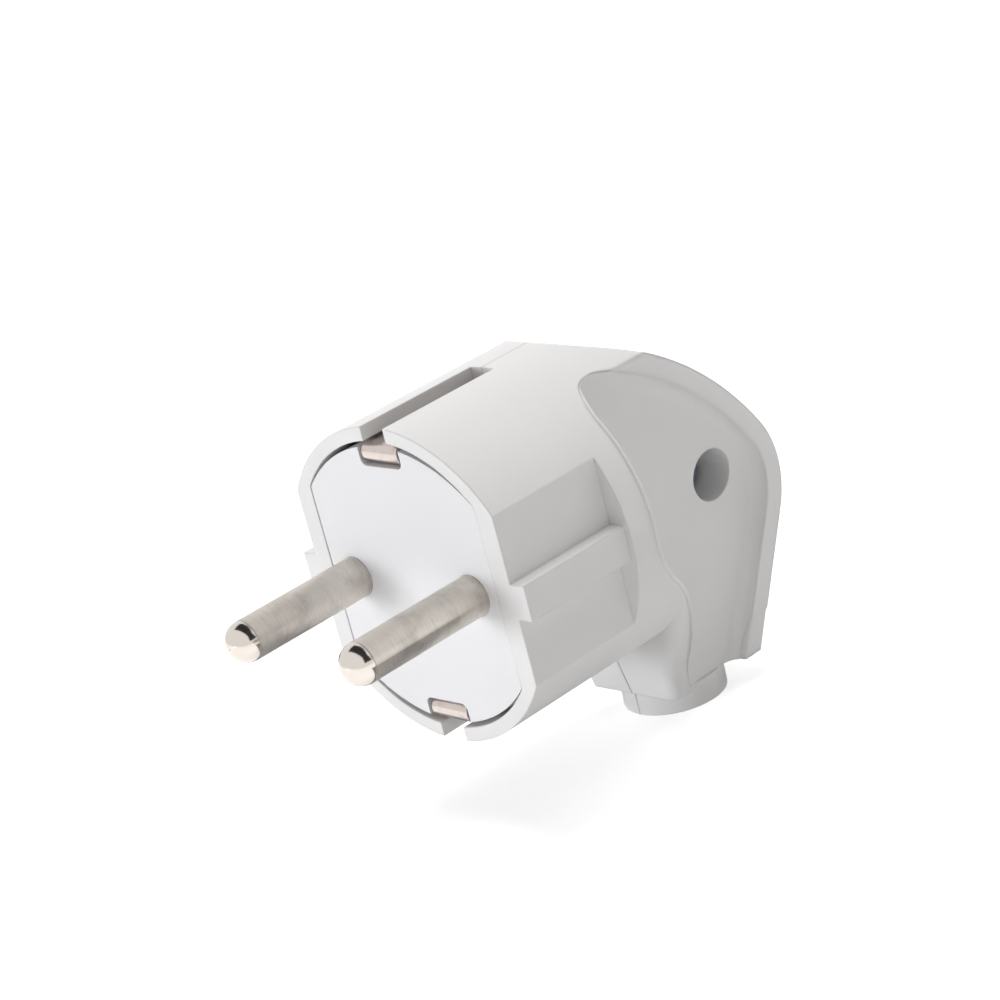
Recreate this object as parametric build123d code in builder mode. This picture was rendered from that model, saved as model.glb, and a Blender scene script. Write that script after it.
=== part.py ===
from build123d import *
from math import cos, radians, sin, sqrt, tan
import os

os.makedirs("parts", exist_ok=True)

# An angled, rewirable earthed plug for a round recessed wall socket. All sizes are in millimetres.
# The origin is on the contact face, midway between the two pins. The pins point along -Y, the body
# lies behind the face along +Y, and the cord leaves downwards along -Z. The casing is moulded in two
# halves that meet on the plane x = 0.

# Contact pins and their screw terminals
pin_diameter = 4.8
pin_length = 19.0
pin_pitch = 19.0
pin_root_diameter = 5.2
pin_collar_diameter = 6.6
pin_collar_length = 1.2
terminal_size = 7.0
terminal_length = 9.0
conductor_bore = 3.0
conductor_bore_depth = 7.0
terminal_screw_inset = 3.4

# Screws of the terminals and of the cord clamp
small_screw_diameter = 3.0
small_head_diameter = 5.2
small_head_height = 1.8
terminal_screw_reach = 3.2
driver_slot_width = 0.8
driver_slot_depth = 1.0
thread_clearance = 0.02
hole_clearance = 0.2

# Barrel: the round part with two flats and two guide ribs that enters the socket
barrel_radius = 18.75
flat_half_width = 15.95
rib_height = 4.1
rib_reach = 18.0
shoulder_depth = 15.6
arc_wall = 1.65
flat_wall = 1.65
rim_lip = 0.9
rim_depth = 2.8

# Side slots that bare the earth clips
slot_width = 3.7
slot_length = 17.0

# Back of the casing, drawn in side view
crease_depth = 24.1
back_arc_radius = 47.0
back_start_slope = 20.0
back_round = 11.5
back_lean = 25.5
base_height = -26.2
neck_edge_round = 1.5
grip_wall = 2.0

# Neck: its front and back are set out from the collar's axis, its sides are drawn in front view
neck_front_reach = 6.7
neck_front_lean = 1.6
neck_back_reach = 7.6
neck_half_width = 7.1
neck_tangent_angle = 33.0
neck_side_round = 8.0

# Finger recess in each side, bounded by an S-shaped edge in front and by a rim behind
recess_lead = 5.0
recess_line_foot = -1.0
recess_sweep = 44.0
recess_upper_bend = 9.0
recess_lower_bend = 27.0
recess_corner_round = 3.8
recess_floor_foot = 5.9
recess_floor_draft = 4.3
recess_floor_round = 1.7
rim_width = 2.6
rim_foot = 8.0
rim_draft = 3.7
rim_trim_lag = 1.4
recess_wall = 1.7

# Collar round the cord entry
collar_diameter = 12.5
collar_height = 3.0
collar_lag = 9.3
cord_bore = 9.2

# Casing screw and its nut
casing_screw_lag = 15.8
casing_screw_height = -3.4
casing_screw_diameter = 3.5
casing_head_diameter = 5.7
casing_head_height = 1.9
casing_head_seat = 1.25
casing_head_edge = 0.5
casing_screw_end = 6.9
cross_width = 0.9
cross_length = 3.4
screw_recess_diameter = 6.2
boss_diameter = 9.0
nut_across_flats = 6.0
nut_height = 2.8
nut_seat = 4.4

# Contact carrier behind the open face
face_setback = 0.08
carrier_fit = 0.08
carrier_arc_gap = 0.65
flange_height = 1.6
ear_height = 12.0
keeper_reach = 1.3
keeper_width = 1.2
keeper_length = 8.0
cup_wall = 1.0
cup_fit = 0.1
pocket_width = 6.6
nose_gap = 0.65
pocket_depth = 2.6
pocket_round = 0.8
shelf_half_width = 2.7
shelf_thickness = 1.0
web_gap = 0.75
web_thickness = 1.2
terminal_edge = 0.5

# Earth strap with its two clips
strap_width = 5.7
strap_thickness = 0.6
strap_gap = 0.35
nose_radius = 1.05
nose_return = 0.5
strap_bend = 1.2
strap_seat = 0.05
strap_side_fit = 0.15
nose_setback = 0.05
earth_plate_size = 6.0
earth_plate_thickness = 1.0
earth_nut_height = 2.0
earth_screw_reach = 3.4

# Cord clamp
clamp_lift = 3.35
clamp_width = 5.2
clamp_bar_seat = 0.6
clamp_bar_thickness = 1.8
clamp_crown = 4.4
clamp_arch_radius = 3.9
clamp_arch_axis = -0.4
clamp_screw_pitch = 14.2
clamp_post_diameter = 5.0
clamp_screw_reach = 3.6

far = 70.0
cutter_overrun = 2.0

# Heights and widths that follow the barrel
top_height = barrel_radius
inner_radius = barrel_radius - arc_wall
inner_flat = flat_half_width - flat_wall
mouth_flat = inner_flat - rim_lip
strap_top = inner_radius - strap_gap
pocket_floor = strap_top - 2 * nose_radius - nose_gap
clamp_height = clamp_lift - (barrel_radius - grip_wall)

# Depths that follow the crease: the finger recess in front of it, and the collar, the neck and the
# casing screw behind it
recess_front = crease_depth - recess_lead
rim_trim_start = crease_depth + rim_trim_lag
collar_depth = crease_depth + collar_lag
neck_front_foot = collar_depth - neck_front_reach
neck_front_top = neck_front_foot - neck_front_lean
back_foot_depth = collar_depth + neck_back_reach
casing_screw_depth = crease_depth + casing_screw_lag

# Depths inside the barrel, where the earth strap crosses in front of the recess's wall
barrel_cavity_depth = recess_front - recess_wall
bridge_back = barrel_cavity_depth - strap_seat
bridge_front = bridge_back - strap_thickness
flange_front = rim_depth
flange_back = flange_front + flange_height
block_front = flange_back + pin_collar_length
block_back = block_front + terminal_length
shelf_length = bridge_front - earth_nut_height - web_gap - flange_back


def front(depth):
    """Plane parallel to the contact face, lying the given depth behind it."""
    return Plane.XZ.offset(-depth)


def side(x):
    """Plane parallel to the parting plane, lying at the given x."""
    return Plane.YZ.offset(x)


def leaning_side(x_at_base, draft):
    """Side plane that passes x_at_base at the foot of the neck and leans outwards going up."""
    return Plane(
        origin=(x_at_base, 0, base_height),
        x_dir=(0, 1, 0),
        z_dir=(cos(radians(draft)), 0, -sin(radians(draft))),
    )


def leaning_x(x_at_base, draft, height):
    """Where such a leaning side plane stands at the given height."""
    return x_at_base + tan(radians(draft)) * (height - base_height)


def faces_on(builder, plane):
    """Faces of a builder's part that lie in a plane."""
    return builder.faces().filter_by(
        lambda face: face.geom_type == GeomType.PLANE
        and abs(plane.to_local_coords(face.center()).Z) < 0.001
        and abs(face.normal_at().dot(plane.z_dir)) > 0.9999
    )


# Side view of the casing behind the shoulder. The back is one large arc that leaves the crease at
# the start slope, a round, and a straight foot that leans forward.
start_slope = radians(back_start_slope)
arc_centre_depth = crease_depth - back_arc_radius * sin(start_slope)
arc_centre_height = top_height - back_arc_radius * cos(start_slope)
foot_rise = tan(radians(back_lean))


def back_arc_point(depth):
    """Point of the large back arc at the given depth."""
    rise = sqrt(back_arc_radius**2 - (depth - arc_centre_depth) ** 2)
    return (depth, arc_centre_height + rise)


# The foot line meets the arc's circle where the quadratic below has its upper root.
line_offset = back_foot_depth - foot_rise * base_height - arc_centre_depth
quad_a = 1 + foot_rise**2
quad_b = foot_rise * line_offset - arc_centre_height
quad_c = line_offset**2 + arc_centre_height**2 - back_arc_radius**2
meet_height = (-quad_b + sqrt(quad_b**2 - quad_a * quad_c)) / quad_a
meet_depth = back_foot_depth + foot_rise * (meet_height - base_height)

with BuildSketch(Plane.YZ) as back_view:
    with BuildLine():
        Polyline((0, -far), (0, top_height), (crease_depth, top_height))
        ThreePointArc(
            (crease_depth, top_height),
            back_arc_point((crease_depth + meet_depth) / 2),
            (meet_depth, meet_height),
        )
        Polyline(
            (meet_depth, meet_height),
            (back_foot_depth - foot_rise * (far + base_height), -far),
            (0, -far),
        )
    make_face()
    back_corner = back_view.vertices().sort_by(Axis.X)[-1]
    fillet(back_corner, radius=back_round)

# Neck below the barrel: a side view with a straight front, and a front view whose sides leave the
# barrel's circle as tangents and turn upright above the foot.
neck_slope = (neck_front_foot - neck_front_top) / (-base_height - top_height)
tangent_angle = radians(neck_tangent_angle)
tangent_x = barrel_radius * cos(tangent_angle)
tangent_z = -barrel_radius * sin(tangent_angle)
neck_knee = tangent_z - (tangent_x - neck_half_width) / tan(tangent_angle)

with BuildSketch(Plane.YZ) as neck_side_view:
    add(back_view.sketch_local)
    Polygon(
        (neck_front_top - neck_slope * top_height, 0),
        (neck_front_foot, base_height),
        (far, base_height),
        (far, 0),
        align=None,
        mode=Mode.INTERSECT,
    )

with BuildSketch(Plane.XZ) as neck_view:
    Polygon(
        (-tangent_x, tangent_z),
        (-neck_half_width, neck_knee),
        (-neck_half_width, -far),
        (neck_half_width, -far),
        (neck_half_width, neck_knee),
        (tangent_x, tangent_z),
        align=None,
    )
    knees = [v for v in neck_view.vertices() if abs(v.Y - neck_knee) < 0.01]
    fillet(knees, radius=neck_side_round)

# Area of the side view that lies behind the S-shaped edge
sweep = radians(recess_sweep)
bend_end = (
    recess_front + recess_upper_bend * (1 - cos(sweep)),
    recess_line_foot - recess_upper_bend * sin(sweep),
)
s_foot = (
    bend_end[0] + recess_lower_bend * (1 - cos(sweep)),
    bend_end[1] - recess_lower_bend * sin(sweep),
)

with BuildSketch(Plane.YZ) as grip_zone:
    with BuildLine():
        Line((recess_front, far), (recess_front, recess_line_foot))
        JernArc(
            start=(recess_front, recess_line_foot),
            tangent=(0, -1),
            radius=recess_upper_bend,
            arc_size=recess_sweep,
        )
        JernArc(
            start=bend_end,
            tangent=(sin(sweep), -cos(sweep)),
            radius=recess_lower_bend,
            arc_size=-recess_sweep,
        )
        Polyline(s_foot, (s_foot[0], -far), (far, -far), (far, far), (recess_front, far))
    make_face()

with BuildSketch(Plane.YZ) as recess_view:
    add(back_view.sketch_local)
    offset(amount=-rim_width)
    add(grip_zone.sketch_local, mode=Mode.INTERSECT)
    recess_corner = recess_view.vertices().sort_by_distance((recess_front, top_height))[0]
    fillet(recess_corner, radius=recess_corner_round)
    with Locations((0, base_height - cutter_overrun)):
        Rectangle(far, far, align=(Align.MIN, Align.MIN), mode=Mode.INTERSECT)

with BuildSketch(Plane.YZ) as trim_view:
    add(grip_zone.sketch_local)
    with Locations((rim_trim_start, 0)):
        Rectangle(2 * far, 4 * far, align=(Align.MAX, Align.CENTER), mode=Mode.SUBTRACT)

recess_floor = leaning_side(recess_floor_foot, recess_floor_draft)
inner_half_width = recess_floor_foot - recess_wall / cos(radians(recess_floor_draft))
inner_side = leaning_side(inner_half_width, recess_floor_draft)

# Cutters for the finger recesses. The floor leans outwards going up and meets the rim in a round.
with BuildPart() as recess_cutter:
    extrude(recess_view.sketch, amount=far)
    split(bisect_by=recess_floor, keep=Keep.TOP)
    floor_edges = faces_on(recess_cutter, recess_floor)[0].edges()
    foot_edge = floor_edges.sort_by(Axis.Z)[0]
    fillet([e for e in floor_edges if e != foot_edge], radius=recess_floor_round)

with BuildPart() as rim_cutter:
    extrude(trim_view.sketch, amount=far)
    split(bisect_by=leaning_side(rim_foot, rim_draft), keep=Keep.TOP)

with BuildPart() as neck_form:
    extrude(neck_view.sketch, amount=-far)
    extrude(neck_side_view.sketch, amount=far, both=True, mode=Mode.INTERSECT)
    neck_front = neck_form.faces().sort_by(Axis.Y)[0]
    fillet(neck_front.edges().filter_by(Axis.X, reverse=True), radius=neck_edge_round)

# Solid outer form of the casing, before it is hollowed
with BuildPart() as outer_form:
    with BuildSketch(front(shoulder_depth)):
        Circle(barrel_radius)
    extrude(amount=-far)
    extrude(back_view.sketch, amount=far, both=True, mode=Mode.INTERSECT)
    with BuildSketch(front(0)):
        Circle(barrel_radius)
        Rectangle(2 * flat_half_width, 2 * barrel_radius, mode=Mode.INTERSECT)
        Rectangle(2 * rib_reach, rib_height)
    extrude(amount=-shoulder_depth)
    add(neck_form.part)
    add(rim_cutter.part, mode=Mode.SUBTRACT)
    add(rim_cutter.part.mirror(Plane.YZ), mode=Mode.SUBTRACT)
    add(recess_cutter.part, mode=Mode.SUBTRACT)
    add(recess_cutter.part.mirror(Plane.YZ), mode=Mode.SUBTRACT)
    with BuildSketch(Plane.XY.offset(base_height)):
        with Locations((0, collar_depth)):
            Circle(collar_diameter / 2)
    extrude(amount=-collar_height)

# Hollow of the grip and the neck, one wall inside the outer form
with BuildPart() as neck_cavity:
    with BuildSketch(Plane.XZ):
        add(neck_view.sketch_local)
        offset(amount=-grip_wall)
    extrude(amount=-far)
    with BuildSketch(Plane.YZ) as inner_neck_view:
        add(neck_side_view.sketch_local)
        offset(amount=-grip_wall)
    extrude(amount=far, both=True, mode=Mode.INTERSECT)

with BuildPart() as grip_cavity:
    with BuildSketch(front(barrel_cavity_depth - cutter_overrun)):
        Circle(barrel_radius - grip_wall)
    extrude(amount=-far)
    with BuildSketch(Plane.YZ) as inner_back_view:
        add(back_view.sketch_local)
        offset(amount=-grip_wall)
    extrude(amount=far, both=True, mode=Mode.INTERSECT)
    add(neck_cavity.part)
    split(bisect_by=inner_side, keep=Keep.BOTTOM)
    split(bisect_by=Plane.YZ, keep=Keep.TOP)
    mirror(about=Plane.YZ)

# Hollow of the barrel, which ends one wall in front of the finger recesses
with BuildPart() as barrel_cavity:
    with BuildSketch(front(rim_depth)):
        Circle(inner_radius)
        Rectangle(2 * inner_flat, 2 * inner_radius, mode=Mode.INTERSECT)
    extrude(amount=-far)
    with BuildSketch(Plane.YZ) as barrel_side_view:
        Rectangle(recess_front + recess_lower_bend, 2 * inner_radius, align=(Align.MIN, Align.CENTER))
        offset(grip_zone.sketch_local, amount=recess_wall, mode=Mode.SUBTRACT)
    extrude(amount=far, both=True, mode=Mode.INTERSECT)
    with BuildSketch(front(-cutter_overrun)):
        Circle(inner_radius)
        Rectangle(2 * mouth_flat, 2 * inner_radius, mode=Mode.INTERSECT)
    extrude(amount=-cutter_overrun - rim_depth)
    with BuildSketch(front(-cutter_overrun)):
        Rectangle(slot_width, 2 * barrel_radius + cutter_overrun)
    extrude(amount=-cutter_overrun - slot_length)

boss_half_length = leaning_x(inner_half_width, recess_floor_draft, casing_screw_height + boss_diameter / 2)
keeper_height = terminal_size / 2 + cup_fit + cup_wall + cup_fit + keeper_width / 2

# Both halves of the casing before they part: walls, keepers behind the carrier's ears, and the
# boss that the casing screw pulls together
with BuildPart() as casing_shell:
    add(outer_form.part)
    add(barrel_cavity.part, mode=Mode.SUBTRACT)
    add(grip_cavity.part, mode=Mode.SUBTRACT)
    with BuildSketch(Plane.XY.offset(base_height - collar_height)):
        with Locations((0, collar_depth)):
            Circle(cord_bore / 2)
    extrude(amount=collar_height + grip_wall, mode=Mode.SUBTRACT)
    with BuildSketch(front(flange_back)):
        with GridLocations(2 * inner_flat - keeper_reach, 2 * keeper_height, 2, 2):
            Rectangle(keeper_reach, keeper_width)
    extrude(amount=-keeper_length)
    with BuildSketch(Plane.YZ):
        with Locations((casing_screw_depth, casing_screw_height)):
            Circle(boss_diameter / 2)
    extrude(amount=boss_half_length, both=True)
    with BuildSketch(Plane.YZ):
        with Locations((casing_screw_depth, casing_screw_height)):
            Circle(casing_screw_diameter / 2 + hole_clearance)
    extrude(amount=far, both=True, mode=Mode.SUBTRACT)

with BuildPart() as casing_right:
    add(casing_shell.part)
    split(bisect_by=Plane.YZ, keep=Keep.TOP)
    with BuildSketch(side(casing_head_seat)):
        with Locations((casing_screw_depth, casing_screw_height)):
            Circle(screw_recess_diameter / 2)
    extrude(amount=far, mode=Mode.SUBTRACT)

casing_right.part.label = "casing_right"
export_step(casing_right.part, "parts/casing_right.step")

post_length = clamp_bar_seat + leaning_x(
    inner_half_width, recess_floor_draft, clamp_height + clamp_post_diameter / 2
)

with BuildPart() as casing_left:
    add(casing_shell.part)
    split(bisect_by=Plane.YZ, keep=Keep.BOTTOM)
    with BuildSketch(side(-nut_seat)):
        with Locations((casing_screw_depth, casing_screw_height)):
            RegularPolygon(nut_across_flats / 2 + hole_clearance / 2, 6, major_radius=False)
    extrude(amount=-far, mode=Mode.SUBTRACT)
    with BuildSketch(side(clamp_bar_seat)):
        with Locations((collar_depth, clamp_height)):
            with GridLocations(clamp_screw_pitch, 1, 2, 1):
                Circle(clamp_post_diameter / 2)
    extrude(amount=-post_length)
    with BuildSketch(side(clamp_bar_seat)):
        with Locations((collar_depth, clamp_height)):
            with GridLocations(clamp_screw_pitch, 1, 2, 1):
                Circle(small_screw_diameter / 2 + thread_clearance)
    extrude(amount=-clamp_screw_reach - thread_clearance, mode=Mode.SUBTRACT)

casing_left.part.label = "casing_left"
export_step(casing_left.part, "parts/casing_left.step")

# Contact carrier: the face plate with its ears, the cups round the two terminals, the shelves under
# the earth clips and the web that parts the two poles
plate_flat = mouth_flat - carrier_fit
plate_corner = sqrt(inner_radius**2 - mouth_flat**2) - carrier_fit
plate_top = inner_radius - carrier_arc_gap
blade_floor = strap_top - strap_thickness - strap_seat
cup_opening = terminal_size + 2 * cup_fit
cup_size = cup_opening + 2 * cup_wall
cup_length = pin_collar_length + terminal_length + cup_fit
terminal_screw_depth = block_back - terminal_screw_inset
notch_width = small_head_diameter + 2 * hole_clearance

with BuildPart() as contact_carrier:
    with BuildSketch(front(face_setback)) as plate_view:
        with BuildLine():
            ThreePointArc((-plate_flat, plate_corner), (0, plate_top), (plate_flat, plate_corner))
            Line((plate_flat, plate_corner), (plate_flat, -plate_corner))
            ThreePointArc((plate_flat, -plate_corner), (0, -plate_top), (-plate_flat, -plate_corner))
            Line((-plate_flat, -plate_corner), (-plate_flat, plate_corner))
        make_face()
    extrude(amount=face_setback - flange_back)
    with BuildSketch(front(flange_front)):
        Rectangle(2 * (inner_flat - carrier_fit), ear_height)
        Circle(inner_radius - carrier_fit, mode=Mode.INTERSECT)
    extrude(amount=-flange_height)
    with BuildSketch(front(flange_back)):
        with GridLocations(pin_pitch, 1, 2, 1):
            Rectangle(cup_size, cup_size)
        Rectangle(web_thickness, 2 * blade_floor)
        with Locations((0, blade_floor), (0, -blade_floor + shelf_thickness)):
            Rectangle(2 * shelf_half_width, shelf_thickness, align=(Align.CENTER, Align.MAX))
    extrude(amount=-shelf_length)
    with BuildSketch(front(flange_back)):
        with GridLocations(pin_pitch, 1, 2, 1):
            Rectangle(cup_size, cup_size)
    extrude(amount=-cup_length)
    with BuildSketch(front(flange_back)):
        with GridLocations(pin_pitch, 1, 2, 1):
            Rectangle(cup_opening, cup_opening)
    extrude(amount=-far, mode=Mode.SUBTRACT)
    with BuildSketch(Plane.XY):
        with GridLocations(pin_pitch, 1, 2, 1):
            with Locations((0, terminal_screw_depth)):
                Circle(notch_width / 2)
                Rectangle(notch_width, far, align=(Align.CENTER, Align.MIN))
    extrude(amount=far, mode=Mode.SUBTRACT)
    with BuildSketch(front(-cutter_overrun)):
        with GridLocations(pin_pitch, 1, 2, 1):
            Circle(pin_root_diameter / 2 + carrier_fit)
    extrude(amount=-far, mode=Mode.SUBTRACT)
    with BuildSketch(front(-cutter_overrun)) as pocket_view:
        with Locations((0, pocket_floor)):
            Rectangle(pocket_width, far, align=(Align.CENTER, Align.MIN))
        fillet(pocket_view.vertices().group_by(Axis.Y)[0], radius=pocket_round)
        mirror(about=Plane.XZ)
    extrude(amount=-cutter_overrun - face_setback - pocket_depth, mode=Mode.SUBTRACT)
    with BuildSketch(front(-cutter_overrun)):
        with Locations((0, blade_floor)):
            Rectangle(strap_width + 2 * strap_side_fit, far, align=(Align.CENTER, Align.MIN))
        mirror(about=Plane.XZ)
    extrude(amount=-cutter_overrun - flange_back, mode=Mode.SUBTRACT)

contact_carrier.part.label = "contact_carrier"
export_step(contact_carrier.part, "parts/contact_carrier.step")

# Contact pin: a round shank with a domed tip, a thicker root in the carrier, a collar that bears on
# the carrier's back, and a square terminal block with the conductor's bore and its screw's tapped hole
with BuildPart() as pin_right:
    with BuildSketch(Plane.XY) as pin_profile:
        with BuildLine():
            tip_round = RadiusArc(
                (pin_pitch / 2, -pin_length),
                (pin_pitch / 2 + pin_diameter / 2, pin_diameter / 2 - pin_length),
                -pin_diameter / 2,
            )
            Polyline(
                tip_round @ 1,
                (pin_pitch / 2 + pin_diameter / 2, face_setback),
                (pin_pitch / 2 + pin_root_diameter / 2, face_setback),
                (pin_pitch / 2 + pin_root_diameter / 2, flange_back),
                (pin_pitch / 2 + pin_collar_diameter / 2, flange_back),
                (pin_pitch / 2 + pin_collar_diameter / 2, block_front),
                (pin_pitch / 2, block_front),
                tip_round @ 0,
            )
        make_face()
    revolve(axis=Axis((pin_pitch / 2, 0, 0), (0, 1, 0)))
    with BuildSketch(front(block_front)) as block_view:
        with Locations((pin_pitch / 2, 0)):
            Rectangle(terminal_size, terminal_size)
        chamfer(block_view.vertices(), length=terminal_edge)
    extrude(amount=-terminal_length)
    with BuildSketch(front(block_back)):
        with Locations((pin_pitch / 2, 0)):
            Circle(conductor_bore / 2)
    extrude(amount=conductor_bore_depth, mode=Mode.SUBTRACT)
    with BuildSketch(Plane.XY):
        with Locations((pin_pitch / 2, terminal_screw_depth)):
            Circle(small_screw_diameter / 2 + thread_clearance)
    extrude(amount=terminal_size, mode=Mode.SUBTRACT)

pin_right.part.label = "pin_right"
export_step(pin_right.part, "parts/pin_right.step")

with BuildPart() as pin_left:
    add(pin_right.part.mirror(Plane.YZ))

pin_left.part.label = "pin_left"
export_step(pin_left.part, "parts/pin_left.step")

# Slotted screws of the terminals
with BuildPart() as terminal_screw_right:
    with BuildSketch(Plane.XY.offset(terminal_size / 2)):
        with Locations((pin_pitch / 2, terminal_screw_depth)):
            Circle(small_head_diameter / 2)
    extrude(amount=small_head_height)
    with BuildSketch(Plane.XY.offset(terminal_size / 2)):
        with Locations((pin_pitch / 2, terminal_screw_depth)):
            Circle(small_screw_diameter / 2)
    extrude(amount=-terminal_screw_reach)
    with BuildSketch(Plane.XY.offset(terminal_size / 2 + small_head_height)):
        with Locations((pin_pitch / 2, terminal_screw_depth)):
            Rectangle(small_head_diameter + cutter_overrun, driver_slot_width)
    extrude(amount=-driver_slot_depth, mode=Mode.SUBTRACT)

terminal_screw_right.part.label = "terminal_screw_right"
export_step(terminal_screw_right.part, "parts/terminal_screw_right.step")

with BuildPart() as terminal_screw_left:
    add(terminal_screw_right.part.mirror(Plane.YZ))

terminal_screw_left.part.label = "terminal_screw_left"
export_step(terminal_screw_left.part, "parts/terminal_screw_left.step")

# Earth strap: one bent strip that runs from the upper clip's half-round nose back along the barrel,
# down behind the terminals and forward again to the lower clip
nose_depth = nose_setback + nose_radius

with BuildPart() as earth_strap:
    with BuildSketch(Plane.YZ):
        with BuildLine():
            nose_end = Line(
                (nose_depth + nose_return, strap_top - 2 * nose_radius),
                (nose_depth, strap_top - 2 * nose_radius),
            )
            nose = JernArc(start=nose_end @ 1, tangent=(-1, 0), radius=nose_radius, arc_size=-180)
            blade = Line(nose @ 1, (bridge_back - strap_bend, strap_top))
            bend = RadiusArc(blade @ 1, (bridge_back, strap_top - strap_bend), strap_bend)
            Line(bend @ 1, (bridge_back, 0))
            mirror(about=Plane.XZ)
            offset(amount=strap_thickness, side=Side.RIGHT)
        make_face()
    extrude(amount=strap_width / 2, both=True)
    with BuildSketch(front(bridge_front - cutter_overrun)):
        Circle(small_screw_diameter / 2 + hole_clearance)
    extrude(amount=-2 * cutter_overrun, mode=Mode.SUBTRACT)

earth_strap.part.label = "earth_strap"
export_step(earth_strap.part, "parts/earth_strap.step")

with BuildPart() as earth_nut:
    with BuildSketch(front(bridge_front - earth_nut_height)):
        Rectangle(earth_plate_size, earth_plate_size)
        Circle(small_screw_diameter / 2 + thread_clearance, mode=Mode.SUBTRACT)
    extrude(amount=-earth_nut_height)

earth_nut.part.label = "earth_nut"
export_step(earth_nut.part, "parts/earth_nut.step")

with BuildPart() as earth_clamp_plate:
    with BuildSketch(front(bridge_back)):
        Rectangle(earth_plate_size, earth_plate_size)
        Circle(small_screw_diameter / 2 + hole_clearance, mode=Mode.SUBTRACT)
    extrude(amount=-earth_plate_thickness)

earth_clamp_plate.part.label = "earth_clamp_plate"
export_step(earth_clamp_plate.part, "parts/earth_clamp_plate.step")

earth_head_seat = bridge_back + earth_plate_thickness

with BuildPart() as earth_screw:
    with BuildSketch(front(earth_head_seat)):
        Circle(small_head_diameter / 2)
    extrude(amount=-small_head_height)
    with BuildSketch(front(earth_head_seat)):
        Circle(small_screw_diameter / 2)
    extrude(amount=earth_screw_reach)
    with BuildSketch(front(earth_head_seat + small_head_height)):
        Rectangle(driver_slot_width, small_head_diameter + cutter_overrun)
    extrude(amount=driver_slot_depth, mode=Mode.SUBTRACT)

earth_screw.part.label = "earth_screw"
export_step(earth_screw.part, "parts/earth_screw.step")

# Cord clamp: a flat bar with round ends that arches over the cord, on the two posts of the left half
bar_face = clamp_bar_seat + clamp_bar_thickness

with BuildPart() as cord_clamp:
    with BuildSketch(side(clamp_bar_seat)):
        with Locations((collar_depth, clamp_height)):
            SlotCenterToCenter(clamp_screw_pitch, clamp_width)
    extrude(amount=clamp_crown - clamp_bar_seat)
    with BuildSketch(side(bar_face)):
        for end in (-1, 1):
            with Locations((collar_depth + end * clamp_screw_pitch / 2, clamp_height)):
                Rectangle(clamp_width + 2 * hole_clearance, 2 * clamp_width)
    extrude(amount=far, mode=Mode.SUBTRACT)
    with BuildSketch(Plane.XY.offset(clamp_height - clamp_width)):
        with Locations((clamp_arch_axis, collar_depth)):
            Circle(clamp_arch_radius)
    extrude(amount=2 * clamp_width, mode=Mode.SUBTRACT)
    with BuildSketch(side(clamp_bar_seat)):
        with Locations((collar_depth, clamp_height)):
            with GridLocations(clamp_screw_pitch, 1, 2, 1):
                Circle(small_screw_diameter / 2 + hole_clearance)
    extrude(amount=clamp_crown, mode=Mode.SUBTRACT)

cord_clamp.part.label = "cord_clamp"
export_step(cord_clamp.part, "parts/cord_clamp.step")

with BuildPart() as clamp_screw_front:
    with BuildSketch(side(bar_face)):
        with Locations((collar_depth - clamp_screw_pitch / 2, clamp_height)):
            Circle(small_head_diameter / 2)
    extrude(amount=small_head_height)
    with BuildSketch(side(bar_face)):
        with Locations((collar_depth - clamp_screw_pitch / 2, clamp_height)):
            Circle(small_screw_diameter / 2)
    extrude(amount=-clamp_bar_thickness - clamp_screw_reach)
    with BuildSketch(side(bar_face + small_head_height)):
        with Locations((collar_depth - clamp_screw_pitch / 2, clamp_height)):
            Rectangle(driver_slot_width, small_head_diameter + cutter_overrun)
    extrude(amount=-driver_slot_depth, mode=Mode.SUBTRACT)

clamp_screw_front.part.label = "clamp_screw_front"
export_step(clamp_screw_front.part, "parts/clamp_screw_front.step")

with BuildPart() as clamp_screw_rear:
    add(clamp_screw_front.part.mirror(Plane.XZ.offset(-collar_depth)))

clamp_screw_rear.part.label = "clamp_screw_rear"
export_step(clamp_screw_rear.part, "parts/clamp_screw_rear.step")

# Casing screw, reached through the finger recess of the right half, and its nut in the left half
with BuildPart() as casing_screw:
    with BuildSketch(side(casing_head_seat)):
        with Locations((casing_screw_depth, casing_screw_height)):
            Circle(casing_head_diameter / 2)
    extrude(amount=casing_head_height)
    chamfer(casing_screw.faces().sort_by(Axis.X)[-1].edges(), length=casing_head_edge)
    with BuildSketch(side(casing_head_seat)):
        with Locations((casing_screw_depth, casing_screw_height)):
            Circle(casing_screw_diameter / 2)
    extrude(amount=-casing_head_seat - casing_screw_end)
    with BuildSketch(side(casing_head_seat + casing_head_height)):
        with Locations((casing_screw_depth, casing_screw_height)):
            Rectangle(cross_length, cross_width)
            Rectangle(cross_width, cross_length)
    extrude(amount=-driver_slot_depth, mode=Mode.SUBTRACT)

casing_screw.part.label = "casing_screw"
export_step(casing_screw.part, "parts/casing_screw.step")

with BuildPart() as casing_nut:
    with BuildSketch(side(-nut_seat)):
        with Locations((casing_screw_depth, casing_screw_height)):
            RegularPolygon(nut_across_flats / 2, 6, major_radius=False)
            Circle(casing_screw_diameter / 2 + thread_clearance, mode=Mode.SUBTRACT)
    extrude(amount=-nut_height)

casing_nut.part.label = "casing_nut"
export_step(casing_nut.part, "parts/casing_nut.step")
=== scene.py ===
"""Dresses the angled earthed plug: plastic and metal finishes, the moulding's fine forms, floor, lamps and camera."""

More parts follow.
